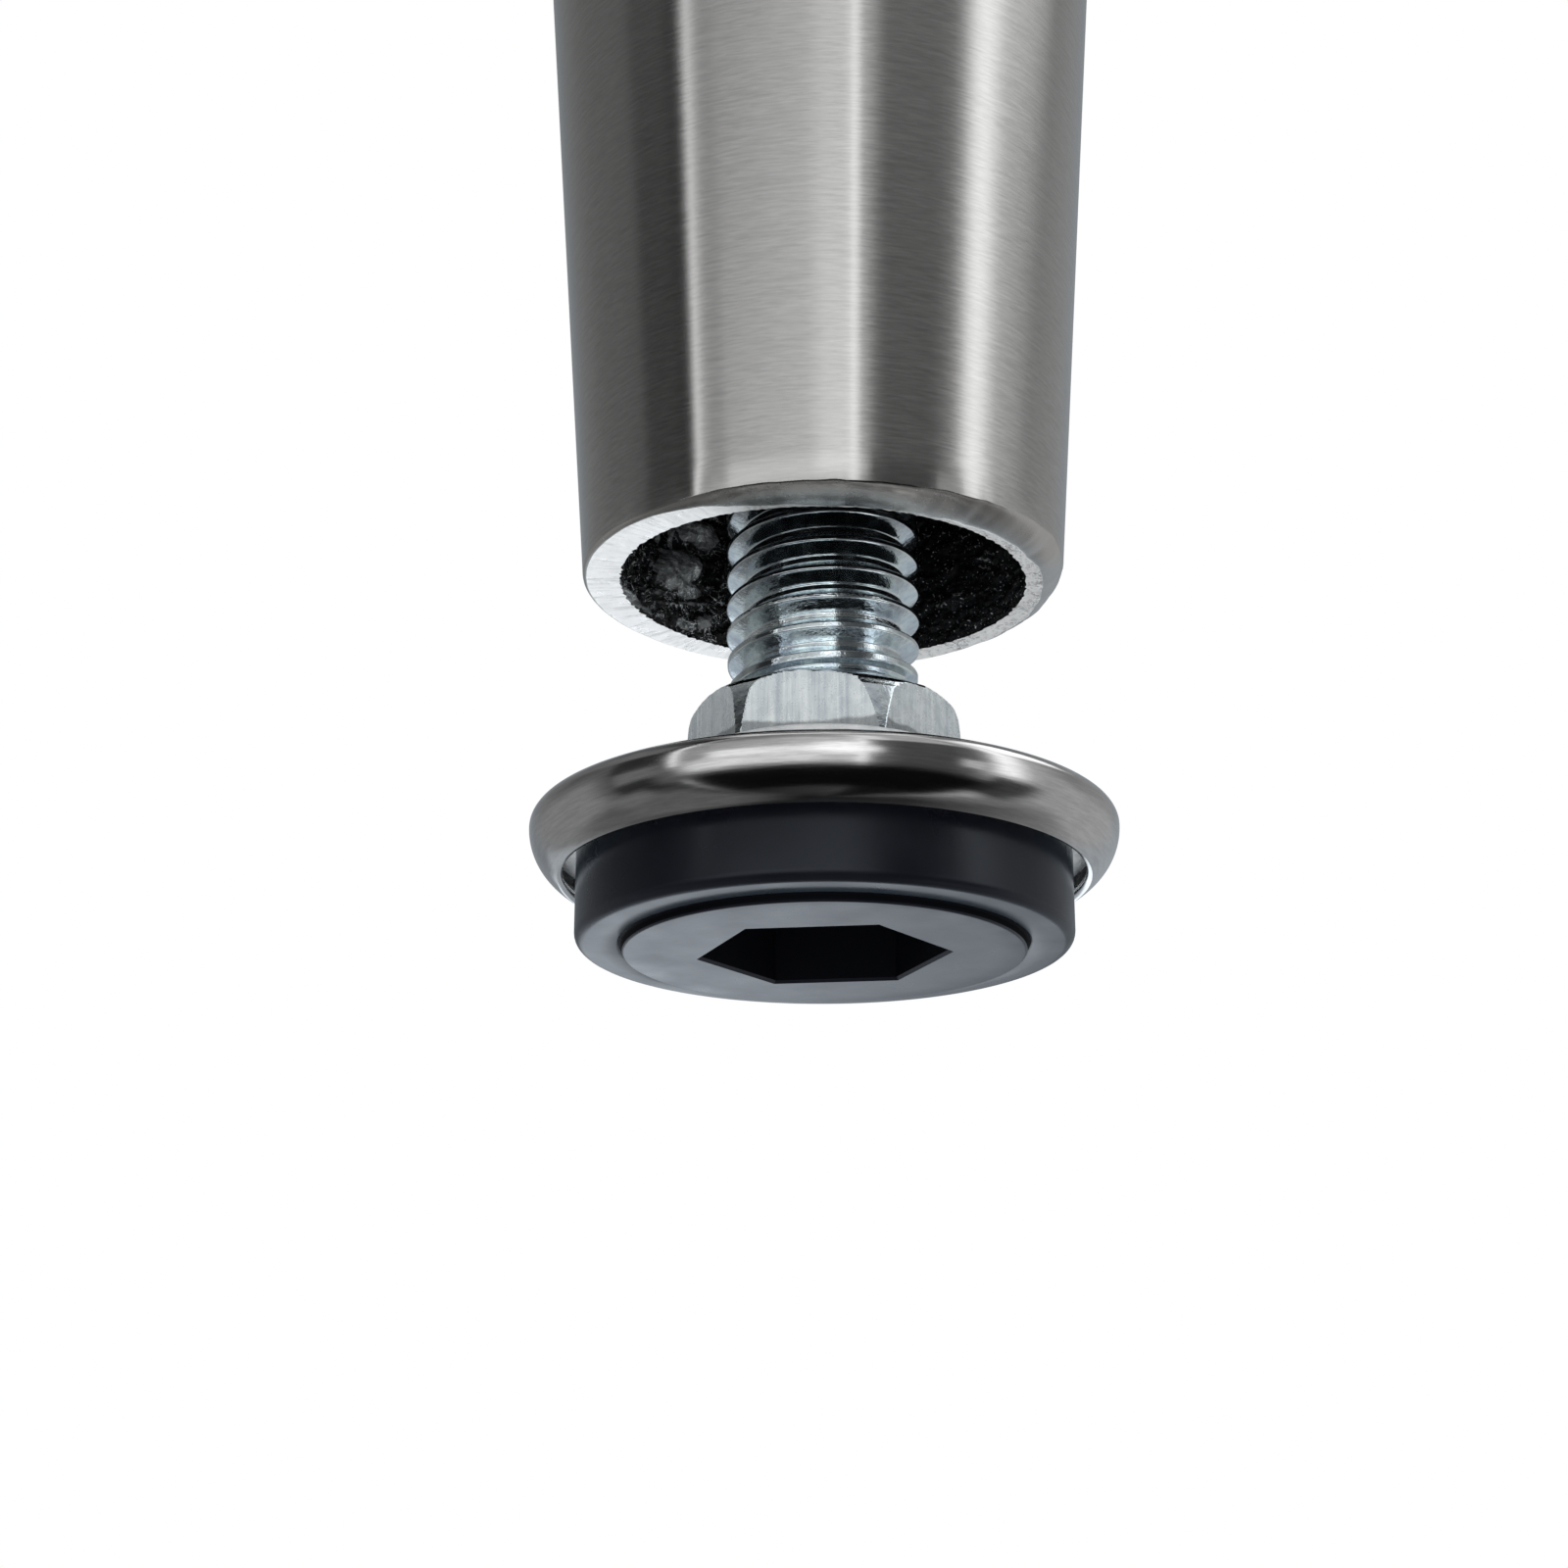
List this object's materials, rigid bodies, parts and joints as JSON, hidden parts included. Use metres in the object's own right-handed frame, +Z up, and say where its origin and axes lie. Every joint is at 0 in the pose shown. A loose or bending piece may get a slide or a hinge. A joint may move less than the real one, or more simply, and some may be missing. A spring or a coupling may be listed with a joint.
{
  "type": "tapered furniture leg",
  "caption": "Tapered round steel furniture leg with a screw-adjusted levelling foot and a round top plate.",
  "frame": {"origin": "centre of the pad's lowest face, on the floor", "axes": "+Z up the leg's axis, from the foot to the mounting plate"},
  "size_m": [0.066, 0.066, 0.16],
  "materials": {
    "leg_steel": "brushed round the leg, clear",
    "plate_steel": "brushed, plain",
    "inside_paint": "rough black paint",
    "nut_zinc": "zinc plated, dulled",
    "stud_zinc": "bright bluish zinc plating with fine scratches",
    "disc_zinc": "bright zinc plating",
    "cap_steel": "fine brushed, nearly bright",
    "pad_plastic": "smooth satin black"
  },
  "bodies": {
    "leg": {"leg_tube": "leg_steel", "mounting_plate": "plate_steel", "nut_carrier": "inside_paint", "weld_nut": "nut_zinc"},
    "cap": {"foot_cap": "cap_steel"},
    "foot": {"adjusting_stud": "stud_zinc", "base_disc": "disc_zinc", "foot_pad": "pad_plastic"}
  },
  "joints": [
    {"name": "foot_travel", "type": "slide", "parent": "leg", "child": "cap", "axis": [0, 0, 1], "range_m": [0, 0.01]},
    {"name": "foot_turn", "type": "hinge", "parent": "cap", "child": "foot", "pos_m": [0, 0, 0], "axis": [0, 0, 1], "range_deg": [0, 2880]}
  ],
  "couplings": [
    {"joint": "foot_travel", "follows": "foot_turn", "m_per_rad": 0.00019894}
  ]
}
